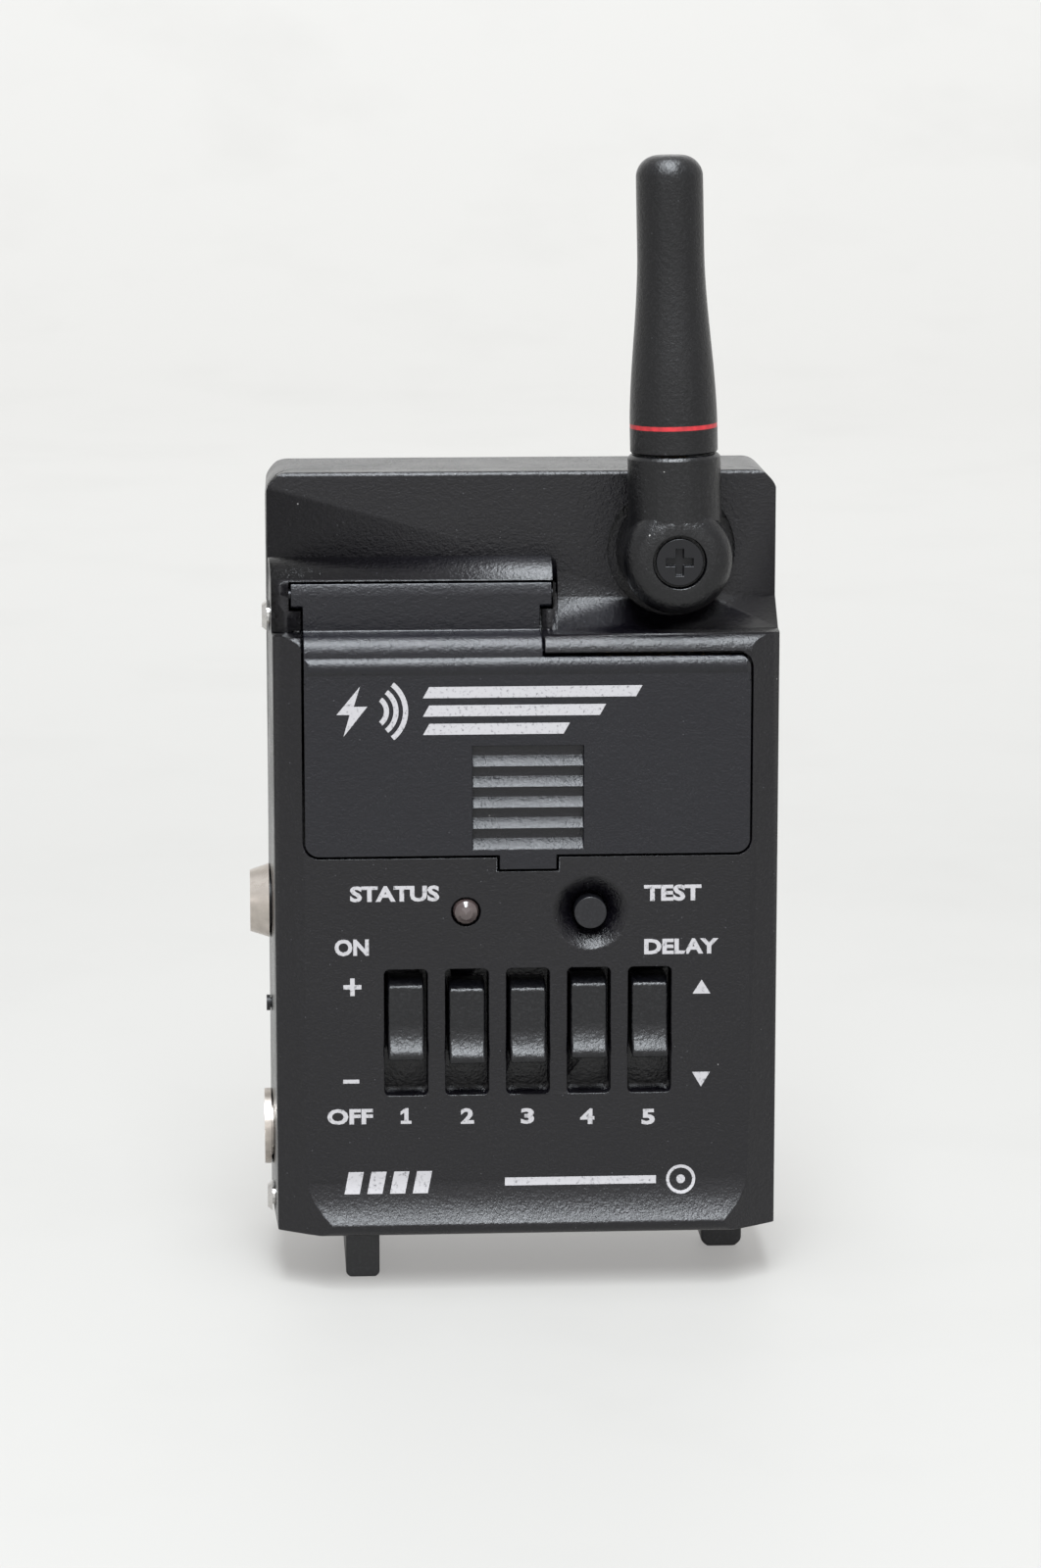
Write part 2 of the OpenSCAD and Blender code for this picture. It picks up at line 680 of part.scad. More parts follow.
module switch_housings() color([0.6, 0.6, 0.62]) place() for (x = switch_x) translate([x, 0, slot_z]) difference() {
    box(-3, 3, slot_y + 0.75, control_y, -5.5, 5.5);
    box(-1.2, 1.2, slot_y, slot_y + 2.6, -switch_travel/2 - 1.6, switch_travel/2 + 2.2);
}

// ---- button and lamp ----

module test_button() color([0.18, 0.18, 0.2]) place() {
    ycyl(button_x, button_z, -0.1, 5.6, button_r);
    ycyl(button_x, button_z, 3.45, 4.5, button_r + 0.8);
}

module tact_switch() color([0.2, 0.2, 0.2]) place() {
    box(button_x - 3, button_x + 3, 5.65 + button_travel, control_y, button_z - 3, button_z + 3);
}

module status_led() color([0.55, 0.5, 0.5]) place() {
    translate([led_x, 0.4, led_z]) rotate([-90, 0, 0]) rotate_extrude() polygon(concat(
        [[0, 4.8], [0, -led_r]], [for (a = [30:30:90]) led_r*[sin(a), -cos(a)]], [[led_r, 4.8]]
    ));
    ycyl(led_x, led_z, 4.2, 5.2, led_r + 0.3, $fn = 12);
    for (i = [-1, 1]) box(led_x + i*1.27*0.8 - 0.25, led_x + i*1.27*0.8 + 0.25, 5.1, control_y + 0.4, led_z - 0.25, led_z + 0.25);
}

// ---- boards ----

module control_board() color([0.1, 0.35, 0.2]) place() difference() {
    box(-board_x, board_x, control_y, control_y + board_t, z0 + 9.5, boards_z);
    for (i = [-1, 1]) box(led_x + i*1.27*0.8 - 0.3, led_x + i*1.27*0.8 + 0.3, control_y - 1, control_y + 0.45, led_z - 0.3, led_z + 0.3);
    box(-board_x - 1, -half_w + wall + jack_len - 1, control_y - 1, control_y + 3, z0, jack_z + 5);
}

module radio_board() color([0.1, 0.35, 0.2]) place() difference() {
    box(-board_x, board_x, radio_y, radio_y + board_t, boards_z - 8, z1 - 9.5);
    box(-board_x - 1, -half_w + wall + jack_len - 1, radio_y - 1, radio_y + 3, z0, jack_z + 5);
}

module board_header() color([0.15, 0.15, 0.15]) place()
    box(8, 20, control_y + board_t, radio_y, boards_z - 5, boards_z - 2.5);

module radio_shield() color([0.75, 0.75, 0.77]) place()
    box(-8, 10, radio_y + board_t, radio_y + board_t + 3, z1 - 38, z1 - 20);

module main_chip() color([0.08, 0.08, 0.08]) place()
    box(-6, 4, control_y + board_t, control_y + board_t + 1.2, z0 + 16, z0 + 26);

// ---- sockets and fittings on the left-hand side ----

module sync_jack_body() color([0.12, 0.12, 0.12]) place() difference() {
    union() {
        box(-half_w + wall + 0.15, -half_w + wall + jack_len - 1.5, jack_y - 4, jack_y + 4, jack_z - 4, jack_z + 4);
        xcyl(jack_y, jack_z, -side_w - 1.2, -half_w + wall + 0.2, 2.9);
    }
    xcyl(jack_y, jack_z, -side_w - 2, -side_w - 1.2 + jack_len, jack_r);
}

module sync_jack_nut() color([0.8, 0.77, 0.74]) place() difference() {
    xcyl(jack_y, jack_z, -side_w - nut_out, -side_w + 0.0, 3.5, 4.2);
    xcyl(jack_y, jack_z, -side_w - 3, -side_w + 1, 2.9);
}

module pc_terminal() color([0.75, 0.75, 0.76]) place() difference() {
    union() {
        xcyl(jack_y, pc_z, -side_w - 0.75, -side_w, 4.3);
        xcyl(jack_y, pc_z, -side_w - e, pc_end, 3.35);
    }
    xcyl(jack_y, pc_z, -side_w - 2, pc_end + 1, 2.1);
}

module pc_insulator() color([0.1, 0.1, 0.1]) place() difference() {
    xcyl(jack_y, pc_z, -side_w + 1.5, pc_end, 2.1);
    xcyl(jack_y, pc_z, -side_w - 1, pc_end + 1, 0.5);
}

module pc_contact() color([0.8, 0.65, 0.3]) place()
    xcyl(jack_y, pc_z, -side_w + 0.3, pc_end, 0.5);

module side_stud() color([0.1, 0.1, 0.1]) place() {
    xcyl(jack_y - 1, stud_z, -side_w - 0.4, -side_w + 0.02, 0.9);
    xcyl(jack_y - 1, stud_z, -side_w, -half_w + wall, 0.6, $fn = 12);
}

module side_screws() color([0.75, 0.75, 0.76]) place() for (z = side_screw_z) difference() {
    union() {
        xcyl(jack_y - 3.5, z, -side_w - 0.5, -side_w + 0.05, 1.3, 1.75);
        xcyl(jack_y - 3.5, z, -side_w, -half_w + wall + 3, 1.0, $fn = 12);
    }
    for (a = [0, 90]) translate([-side_w - 0.5, jack_y - 3.5, z]) rotate([a, 0, 0]) cube([0.6, 1.9, 0.4], center = true);
}

module case_screws() color([0.12, 0.12, 0.12]) place() for (i = [-1, 1], z = boss_z) difference() {
    union() {
        ycyl(i*boss_x, z, split_y + 3, split_y + 4.6, 2.0);
        ycyl(i*boss_x, z, split_y - 1.8, split_y + 3.01, 0.9, $fn = 12);
    }
    for (a = [0, 90]) translate([i*boss_x, split_y + 4.6, z]) rotate([0, a, 0]) cube([2.4, 1.4, 0.5], center = true);
}

// ---- stand ----

module left_stand_rail() color([0.12, 0.12, 0.13]) place() {
    difference() {
        box(rail_x - rail_w/2, rail_x + rail_w/2, rail_y, rail_y + rail_len, 0, z0);
        translate([rail_x, rail_y - 1, 0]) for (s = [-1, 1]) translate([s*rail_w/2, 0, 0]) rotate([0, 45, 0]) cube([0.6, 80, 0.6], center = true);
    }
    box(rail_x - 1, rail_x + 1, rail_y + 3, rail_y + rail_len - 3, z0 - 0.5, z0 + 1);
}

module right_stand_foot() color([0.12, 0.12, 0.13]) place() {
    xz(foot_y, foot_y + 5) difference() {
        translate([foot_x - foot_w/2, 0]) square([foot_w, z0]);
        for (i = [-1, 1]) translate([foot_x + i*foot_w/2, 0]) rotate(45) square(1, center = true);
    }
    box(foot_x - foot_w/2 - 1.6, foot_x + foot_w/2, foot_y + 1, foot_y + 4, z0 - 2, z0);
    box(foot_x - 1, foot_x + 1, foot_y + 1.5, foot_y + 3.5, z0 - 0.5, z0 + 1);
}

front_case();
rear_case();
case_screws();
side_screws();
side_stud();
left_stand_rail();
right_stand_foot();
battery_door();
door_hinge_pin();
battery_cells();
contact_springs();
contact_plates();
antenna_knuckle();
antenna_whip();
antenna_ring();
antenna_element();
antenna_pivot_screw();
antenna_washer();
antenna_insert();
zone_switch_1();
zone_switch_2();
zone_switch_3();
zone_switch_4();
mode_switch();
switch_housings();
test_button();
tact_switch();
status_led();
control_board();
radio_board();
board_header();
radio_shield();
main_chip();
sync_jack_body();
sync_jack_nut();
pc_terminal();
pc_insulator();
pc_contact();
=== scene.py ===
# %% [markdown]
# # A wireless flash trigger
#
# A radio receiver the size of a cigarette packet: a textured black case, a
# battery door with a stepped grip, five slide switches and a stub antenna.
# The CAD model gives every solid piece in its place. This script gives them
# their finishes, adds the printed marks and the fine pieces, and lights the
# whole like a small product shot.

# %% Load the frame
import json
import math
import bpy
import bmesh
from mathutils import Matrix, Vector
from mathutils.bvhtree import BVHTree


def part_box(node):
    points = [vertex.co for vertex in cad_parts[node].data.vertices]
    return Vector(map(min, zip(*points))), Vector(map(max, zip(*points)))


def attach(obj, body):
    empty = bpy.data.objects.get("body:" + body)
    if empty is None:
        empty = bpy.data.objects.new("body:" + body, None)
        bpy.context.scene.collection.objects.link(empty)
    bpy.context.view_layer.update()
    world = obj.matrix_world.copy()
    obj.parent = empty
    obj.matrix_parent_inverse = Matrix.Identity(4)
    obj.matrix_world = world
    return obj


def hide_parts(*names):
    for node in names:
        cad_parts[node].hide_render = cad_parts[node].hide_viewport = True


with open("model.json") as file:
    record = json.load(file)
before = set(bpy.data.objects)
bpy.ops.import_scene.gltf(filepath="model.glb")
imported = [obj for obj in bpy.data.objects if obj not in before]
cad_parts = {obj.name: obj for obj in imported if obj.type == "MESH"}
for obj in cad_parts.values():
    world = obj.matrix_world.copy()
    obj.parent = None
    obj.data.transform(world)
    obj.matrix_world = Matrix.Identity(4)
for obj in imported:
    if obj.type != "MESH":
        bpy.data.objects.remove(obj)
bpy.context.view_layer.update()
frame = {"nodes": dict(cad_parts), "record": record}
MM = 0.001

# %% [markdown]
# ## Where things are
#
# All positions come from the boxes of the CAD nodes. The bead of the battery
# door stands 0.55 mm proud of the control face and its panel 0.25 mm, and
# the case is symmetric about its middle, so four numbers carry every mark.

# %% Reference planes
case_low, case_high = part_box("front_case")
door_low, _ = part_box("battery_door")
BEAD_PROUD, PANEL_PROUD = 0.55 * MM, 0.25 * MM
FACE_Y = door_low.y + BEAD_PROUD
DOOR_FACE_Y = FACE_Y - PANEL_PROUD
MID_X = (case_low.x + case_high.x) / 2
BASE_Z = case_low.z
print("face plane y %.2f mm, middle x %.2f mm" % (FACE_Y / MM, MID_X / MM))


# %% [markdown]
# ## Camera
#
# The lens is long, so that the upright box keeps nearly parallel sides. It
# stands a little to the left of the object, half a metre away, and looks
# down about eleven degrees.

# %% Camera
AIM = Vector((MID_X - 0.84 * MM, FACE_Y, 57.28 * MM))
PITCH, YAW, REACH = math.radians(10.71), math.radians(3.36), 509.9 * MM
SENSOR_MM, LENS_MM = 36, 159.694915
look = Vector((math.sin(YAW) * math.cos(PITCH), math.cos(YAW) * math.cos(PITCH), -math.sin(PITCH)))
camera_data = bpy.data.cameras.new("camera")
camera_data.sensor_fit = "HORIZONTAL"
camera_data.sensor_width = SENSOR_MM
camera_data.lens = LENS_MM
camera = bpy.data.objects.new("camera", camera_data)
camera.location = AIM - look * REACH
camera.rotation_euler = (math.pi / 2 - PITCH, 0, -YAW)
bpy.context.scene.collection.objects.link(camera)
bpy.context.scene.camera = camera

# %% [markdown]
# ## Light and floor
#
# A black object in a white room is drawn by what it reflects. A broad light
# above and behind gives the bright upper edges, white surroundings keep the
# front from going black. The floor glows a little, which keeps it near white,
# and sweeps up into the backdrop without a corner.

# %% Floor, backdrop and lamps
def add_area(name, place, aim, size, power, tint=(1.0, 1.0, 1.0)):
    lamp = bpy.data.lights.new(name, "AREA")
    lamp.color = tint
    lamp.shape = "RECTANGLE"
    lamp.size, lamp.size_y = size
    lamp.energy = power
    obj = bpy.data.objects.new(name, lamp)
    obj.location = place
    obj.rotation_euler = (Vector(aim) - Vector(place)).to_track_quat("-Z", "Y").to_euler()
    bpy.context.scene.collection.objects.link(obj)
    return obj


COOL, COOLER = (0.93, 0.96, 1.0), (0.9, 0.95, 1.0)
add_area("overhead_softbox", (-0.02, -0.37, 0.96), (-0.02, 0.0, 0.08), (0.40, 1.05), 26.0, COOLER)
add_area("front_card", (0.0, -1.3, 0.4), (0, 0.0, 0.3), (2.6, 0.4), 3.2)
rear = add_area("rear_strip", (0.0, 1.36, 0.46), (0, 0.0, 0.1), (2.2, 0.5), 0.7, (0.92, 0.96, 1.0))
rear.visible_camera = False
add_area("backdrop_light", (0.0, 0.3, 1.2), (0, 1.4, 1.12), (2.4, 0.6), 56.0, COOL)

world = bpy.data.worlds.new("studio")
bpy.context.scene.world = world
world.use_nodes = True
world.node_tree.nodes["Background"].inputs["Color"].default_value = (1.0, 1.0, 1.0, 1)
world.node_tree.nodes["Background"].inputs["Strength"].default_value = 0.85
bpy.context.scene.view_settings.view_transform = "Standard"

sweep = bmesh.new()
CURVE_Y, CURVE_R, CURVE_STEPS, HALF_WIDTH = 0.9, 0.5, 12, 2.2
SWEEP = [(-1.6, 0.0), (-0.6, 0.0), (0.0, 0.0), (0.6, 0.0)]
for i in range(CURVE_STEPS + 1):
    a = i * math.pi / (2 * CURVE_STEPS)
    SWEEP.append((CURVE_Y + CURVE_R * math.sin(a), CURVE_R - CURVE_R * math.cos(a)))
SWEEP += [(1.4, 1.2), (1.4, 2.4)]
rows = [[sweep.verts.new((x, y, z)) for x in (-HALF_WIDTH, HALF_WIDTH)] for y, z in SWEEP]
for near, far in zip(rows, rows[1:]):
    sweep.faces.new((near[0], near[1], far[1], far[0]))
floor_mesh = bpy.data.meshes.new("floor")
sweep.to_mesh(floor_mesh)
floor = bpy.data.objects.new("floor", floor_mesh)
for face in floor_mesh.polygons:
    face.use_smooth = True
bpy.context.scene.collection.objects.link(floor)

# %% [markdown]
# ## Writing materials as sums
#
# Shader maths reads best as ordinary arithmetic. `Value` wraps a socket and
# adds a Math node for each operator; `Finish` owns a material and adds any
# other node through one method.

# %% Value and Finish
def pick_input(node, key):
    """i3 is the input numbered 3; any other key is an input's name."""
    if key[0] == "i" and key[1:].isdigit():
        return node.inputs[int(key[1:])]
    return node.inputs[key.replace("_", " ")]


class Value:
    def __init__(self, tree, socket):
        self.tree, self.socket = tree, socket

    def math(self, operation, *others):
        node = self.tree.nodes.new("ShaderNodeMath")
        node.operation = operation
        for slot, item in zip(node.inputs, (self,) + others):
            if isinstance(item, Value):
                self.tree.links.new(item.socket, slot)
            else:
                slot.default_value = item
        return Value(self.tree, node.outputs[0])

    def __add__(self, other): return self.math("ADD", other)
    def __radd__(self, other): return self.math("ADD", other)
    def __mul__(self, other): return self.math("MULTIPLY", other)
    def __rmul__(self, other): return self.math("MULTIPLY", other)
    def size(self): return self.math("ABSOLUTE")

    def ramp(self, low, high):
        """0 below low, 1 above high, straight between (high may be the smaller one)."""
        node = self.tree.nodes.new("ShaderNodeMapRange")
        for slot, number in zip(node.inputs[1:5], (low, high, 0, 1)):
            slot.default_value = number
        self.tree.links.new(self.socket, node.inputs[0])
        return Value(self.tree, node.outputs[0])


class Finish:
    def __init__(self, name, colour, roughness, **fixed):
        self.material = bpy.data.materials.new(name)
        self.material.use_nodes = True
        self.tree = self.material.node_tree
        self.shader = self.tree.nodes["Principled BSDF"]
        self.set("Base Color", colour)
        self.set("Roughness", roughness)
        for socket, amount in fixed.items():
            self.set(socket.replace("_", " "), amount)
        self.material.diffuse_color = (*colour, 1)

    def set(self, socket, amount):
        slot = self.shader.inputs[socket]
        if isinstance(amount, Value):
            self.tree.links.new(amount.socket, slot)
        elif isinstance(amount, tuple):
            slot.default_value = (*amount, 1)
        else:
            slot.default_value = amount

    def node(self, kind, settings=None, out=0, **sockets):
        node = self.tree.nodes.new("ShaderNode" + kind)
        for key, setting in (settings or {}).items():
            if key == "stops":
                ramp = node.color_ramp
                while len(ramp.elements) < len(setting):
                    ramp.elements.new(0.5)
                for element, (at, colour) in zip(ramp.elements, setting):
                    element.position, element.color = at, (*colour, 1)
            else:
                setattr(node, key, setting)
        for key, item in sockets.items():
            slot = pick_input(node, key)
            if isinstance(item, Value):
                self.tree.links.new(item.socket, slot)
            elif isinstance(item, tuple) and len(item) == 3 and len(slot.default_value) == 4:
                slot.default_value = (*item, 1)
            else:
                slot.default_value = item
        return Value(self.tree, node.outputs[out])

    def place(self):
        return self.node("TexCoord", out="Object")

    def axis(self, letter):
        return self.node("SeparateXYZ", out=letter, Vector=self.place())

    def noise(self, grain_mm, detail=2.0, rough=0.5):
        """Noise whose blotches are about grain_mm across."""
        return self.node("TexNoise", Vector=self.place(), Scale=1000.0 / grain_mm, Detail=detail, Roughness=rough)

    def mix(self, amount, first, second):
        return self.node("Mix", {"data_type": "RGBA"}, out=2, i0=amount, i6=first, i7=second)

    def specks(self, cell_mm, radius, share):
        """1 inside round specks: one cell in 1/share holds a speck."""
        tex = self.tree.nodes.new("ShaderNodeTexVoronoi")
        tex.inputs["Scale"].default_value = 1000.0 / cell_mm
        self.tree.links.new(self.place().socket, tex.inputs["Vector"])
        near = Value(self.tree, tex.outputs["Distance"]).ramp(radius, radius * 0.6)
        pick = self.node("SeparateColor", out=0, Color=Value(self.tree, tex.outputs["Color"]))
        return near * pick.ramp(share + 0.01, share)

    def bump(self, *layers):
        """layers are (height, depth in mm); each Bump node feeds the next one's normal."""
        normal = None
        for height, depth in layers:
            node = self.tree.nodes.new("ShaderNodeBump")
            node.inputs["Strength"].default_value = 1.0
            node.inputs["Distance"].default_value = depth * MM
            self.tree.links.new(height.socket, node.inputs["Height"])
            if normal:
                self.tree.links.new(normal, node.inputs["Normal"])
            normal = node.outputs["Normal"]
        self.tree.links.new(normal, self.shader.inputs["Normal"])


def srgb(r, g, b):
    """Screen values 0 to 255 as the linear colour a shader wants."""
    return tuple(((c / 255 + 0.055) / 1.055) ** 2.4 if c > 10 else c / 255 / 12.92 for c in (r, g, b))


# %% [markdown]
# ## Moulded black plastic
#
# The case is ABS from a spark-eroded mould: a fine, even grain that scatters
# the light softly. The grain is real depth, so it goes into a bump; finger
# grease makes the shine uneven, and dust sits on it as pale specks.

# %% Plastics
def moulded(name, colour, roughness, grain_mm, depth, dust=0.0, uneven=0.1):
    finish = Finish(name, colour, roughness, Specular_IOR_Level=0.42)
    grain = finish.noise(grain_mm, 3.0, 0.6)
    grease = finish.noise(9.0, 3.0, 0.55).ramp(0.35, 0.65)
    fine = finish.noise(grain_mm * 2.3, 1.0)
    lighter = tuple(min(1, c * 1.35 + 0.005) for c in colour)
    tone = finish.mix(grain.ramp(0.48, 0.7), colour, lighter)
    if dust:
        tone = finish.mix(finish.specks(1.6, 0.07, dust) * 0.6, tone, srgb(190, 188, 186))
        tone = finish.mix(finish.specks(0.7, 0.1, dust * 3) * 0.16, tone, srgb(170, 170, 176))
    finish.set("Base Color", tone)
    finish.set("Roughness", grease * uneven + (roughness - uneven / 2))
    finish.bump((fine, depth * 0.8), (grain, depth))
    return finish


case_plastic = moulded("case_plastic", srgb(5, 4, 8), 0.25, 0.24, 0.07, dust=0.045)
door_plastic = moulded("door_plastic", srgb(8, 8, 15), 0.26, 0.24, 0.07, dust=0.015)
antenna_plastic = moulded("antenna_plastic", srgb(3, 3, 5), 0.28, 0.26, 0.06, dust=0.06)
switch_plastic = moulded("switch_plastic", srgb(5, 5, 8), 0.3, 0.32, 0.08, uneven=0.12)
button_plastic = moulded("button_plastic", srgb(13, 13, 17), 0.34, 0.3, 0.01)
black_plastic = moulded("black_plastic", srgb(26, 26, 28), 0.42, 0.4, 0.006)


# %% [markdown]
# ## Metals
#
# The nut and screws are nickel-plated and turned; they carry a fine grain,
# and dull patches where they have been handled.

# %% Metals
def turned(name, colour, roughness, metallic=1.0, spread=0.16):
    finish = Finish(name, colour, roughness, Metallic=metallic)
    dull = finish.noise(1.4, 3.0, 0.6).ramp(0.35, 0.7)
    fine = finish.noise(0.12, 2.0, 0.5)
    finish.set("Roughness", dull * spread + (roughness - spread / 2))
    finish.set("Base Color", finish.mix(dull, colour, tuple(c * 0.82 for c in colour)))
    finish.bump((fine, 0.002))
    return finish


nickel = turned("nickel", srgb(190, 182, 174), 0.34)
bright_steel = turned("bright_steel", srgb(205, 203, 200), 0.3)
brass = turned("brass", srgb(196, 160, 92), 0.34)
black_steel = turned("black_steel", srgb(34, 34, 36), 0.36, metallic=0.6)

# %% [markdown]
# ## Small finishes
#
# White ink for the marks, a red band on the antenna, a milky lamp, the boards
# and the cells' printed jackets.

# %% Ink, lamp, board and cells
ink = Finish("ink", srgb(205, 203, 204), 0.6)
thin = ink.noise(0.35, 3.0, 0.6)
ink.set("Base Color", ink.mix(thin.ramp(0.56, 0.74), srgb(166, 164, 166), srgb(80, 79, 82)))
ink.set("Roughness", thin * 0.2 + 0.5)
ink.bump((thin, 0.004))

red_band = Finish("red_band", srgb(176, 36, 44), 0.4)
red_blotch = red_band.noise(0.8, 2.0)
red_band.set("Base Color", red_band.mix(red_blotch.ramp(0.3, 0.7), srgb(186, 40, 48), srgb(150, 28, 36)))
red_band.set("Roughness", red_blotch * 0.2 + 0.3)
red_band.bump((red_blotch, 0.003))

lamp = Finish("lamp", srgb(150, 140, 136), 0.2, Coat_Weight=0.6)
cloud = lamp.noise(0.9, 2.0)
lamp.set("Base Color", lamp.mix(cloud.ramp(0.3, 0.7), srgb(58, 48, 48), srgb(74, 64, 62)))
lamp.set("Roughness", cloud * 0.15 + 0.15)
lamp.bump((cloud, 0.003))

board = Finish("board", srgb(24, 84, 48), 0.35)
weave = board.noise(0.6, 2.0)
board.set("Base Color", board.mix(weave.ramp(0.4, 0.6), srgb(20, 76, 42), srgb(34, 100, 58)))
board.set("Roughness", weave * 0.2 + 0.28)
board.bump((weave, 0.01))

cell_jacket = Finish("cell_jacket", srgb(60, 60, 64), 0.3, Metallic=0.5)
band = cell_jacket.axis("X").size().ramp(9.0 * MM, 9.2 * MM)
scuff = cell_jacket.noise(2.0, 3.0)
cell_jacket.set("Base Color", cell_jacket.mix(band, srgb(38, 38, 42), srgb(176, 142, 76)))
cell_jacket.set("Roughness", scuff * 0.2 + 0.22)
cell_jacket.bump((scuff, 0.005))

floor_paint = Finish("floor_paint", srgb(238, 237, 236), 0.6)
smudge = floor_paint.noise(60.0, 4.0, 0.6)
floor_paint.set("Base Color", floor_paint.mix(smudge.ramp(0.5, 0.8), srgb(123, 122, 119), srgb(119, 118, 115)))
floor_paint.set("Emission Color", srgb(150, 149, 148))
floor_paint.set("Emission Strength", 1.0)
floor_mesh.materials.append(floor_paint.material)

FINISHES = {
    "case_plastic": case_plastic, "door_plastic": door_plastic, "black_plastic": black_plastic,
    "switch_plastic": switch_plastic, "button_plastic": button_plastic, "antenna_plastic": antenna_plastic,
    "red_band": red_band, "lamp": lamp, "black_steel": black_steel, "bright_steel": bright_steel,
    "nickel": nickel, "brass": brass, "cell_jacket": cell_jacket, "board": board,
}
for part in frame["record"]["subparts"]:
    obj = frame["nodes"][part["node"]]
    obj.data.materials.clear()
    obj.data.materials.append(FINISHES[part["material_slot"]].material)
print("finishes:", len(FINISHES))

# %% [markdown]
# ## Making pieces
#
# A finished piece is a mesh with its place baked in, a material and the body it
# rides on. One helper gives a mesh its material and its body, and a second one
# takes a node's body and the finish of its slot in the record for a replacement.

# %% Piece helpers
BODY_OF = {node: body for body, nodes in frame["record"]["behaviour"]["bodies"].items() for node in nodes}
SLOT_OF = {part["node"]: part["material_slot"] for part in frame["record"]["subparts"]}


def finish_piece(name, mesh, body, material):
    obj = bpy.data.objects.new(name, mesh)
    bpy.context.scene.collection.objects.link(obj)
    mesh.materials.clear()
    mesh.materials.append(material)
    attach(obj, body)
    return obj


def stand_in(name, mesh, node):
    """A piece that takes over from a CAD node."""
    piece = finish_piece(name, mesh, BODY_OF[node], FINISHES[SLOT_OF[node]].material)
    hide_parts(node)
    return piece


def to_mesh(bm, name, smooth=True):
    bmesh.ops.recalc_face_normals(bm, faces=bm.faces)
    mesh = bpy.data.meshes.new(name)
    bm.to_mesh(mesh)
    bm.free()
    for face in mesh.polygons:
        face.use_smooth = smooth
    return mesh


# %% [markdown]
# ## Softened edges
#
# No moulding has a knife edge, and the thin bright lines along the edges are
# half of how the eye reads black plastic. The CAD mesh is left alone: a copy
# is merged, its flat faces are joined up again, and its sharp edges get a
# small rounding, on the front moulding only round its face and its top. The
# copy replaces the node and rides on the same body.

# %% Softened copies of the mouldings
SOFT = {
    "front_case": 0.14, "battery_door": 0.1, "left_stand_rail": 0.2, "right_stand_foot": 0.35,
    "zone_switch_1": 0.3, "zone_switch_2": 0.3, "zone_switch_3": 0.3, "zone_switch_4": 0.3,
    "mode_switch": 0.3,
    "antenna_knuckle": 0.12, "test_button": 0.12, "antenna_pivot_screw": 0.1,
}
WELD, FLAT, SHARP = 0.0005 * MM, math.radians(0.5), math.radians(34)
FACE_BAND, TOP_BAND, BACK_BAND = 1.2 * MM, 0.05 * MM, 0.1 * MM


def outside(name, co):
    """Keeps the thin ledges inside the front moulding out of the rounding."""
    at_face = co.y < FACE_Y + FACE_BAND
    at_top = co.z > case_high.z - TOP_BAND and co.y < case_high.y - BACK_BAND
    return name != "front_case" or at_face or at_top


def soften(name, radius):
    bm = bmesh.new()
    bm.from_mesh(frame["nodes"][name].data)
    bmesh.ops.remove_doubles(bm, verts=bm.verts, dist=WELD)
    bmesh.ops.dissolve_limit(bm, angle_limit=FLAT, verts=bm.verts, edges=bm.edges)
    surface = BVHTree.FromBMesh(bm)
    weight = bm.edges.layers.float.new("bevel_weight_edge")
    for edge in bm.edges:
        sharp = len(edge.link_faces) == 2 and edge.calc_face_angle() > SHARP
        edge[weight] = 1.0 if sharp and all(outside(name, v.co) for v in edge.verts) else 0.0
    mesh = bpy.data.meshes.new(name)
    bm.to_mesh(mesh)
    bm.free()
    for face in mesh.polygons:
        face.use_smooth = True
    holder = bpy.data.objects.new(name, mesh)
    bpy.context.scene.collection.objects.link(holder)
    bevel = holder.modifiers.new("edges", "BEVEL")
    bevel.width, bevel.segments, bevel.limit_method = radius * MM, 2, "WEIGHT"
    bevel.use_clamp_overlap, bevel.harden_normals = False, True
    even = holder.modifiers.new("normals", "WEIGHTED_NORMAL")
    even.weight, even.keep_sharp = 50, True
    shown = holder.evaluated_get(bpy.context.evaluated_depsgraph_get())
    plain = bpy.data.meshes.new_from_object(shown)
    bpy.data.objects.remove(holder)
    # a rounding that runs past a small face goes back onto the surface
    low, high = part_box(name)
    for v in plain.vertices:
        spot, _, _, gap = surface.find_nearest(v.co)
        if gap > 0.6 * radius * MM:
            v.co = spot
        v.co = Vector([min(max(c, a), b) for c, a, b in zip(v.co, low, high)])
    return plain


for name, radius in SOFT.items():
    piece = stand_in(name + "_soft", soften(name, radius), name)
    print("softened", name, len(piece.data.polygons), "faces")

# %% [markdown]
# ## The whip, turned from its rule
#
# The rubber sleeve of the antenna is a straight foot, a smooth S-shaped
# flare and a domed tip. Its radius is a function of height, so the profile
# is drawn from that function and turned about the axis, which leans a
# little to the left.

# %% Turned whip
ring_low, ring_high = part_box("antenna_ring")
_, whip_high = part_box("antenna_whip")
LEAN = math.radians(1.3)
FOOT_R, TIP_R, DOME = 4.85, 3.68, 2.4
FLARE_LOW, FLARE_HIGH, TIP = 14.0, 34.0, 44.17


def whip_radius(h):
    t = min(1, max(0, (h - FLARE_LOW) / (FLARE_HIGH - FLARE_LOW)))
    radius = FOOT_R - (FOOT_R - TIP_R) * t * t * (3 - 2 * t)
    over = h - (TIP - DOME)
    return radius if over <= 0 else radius - DOME + math.sqrt(max(0, DOME * DOME - over * over))


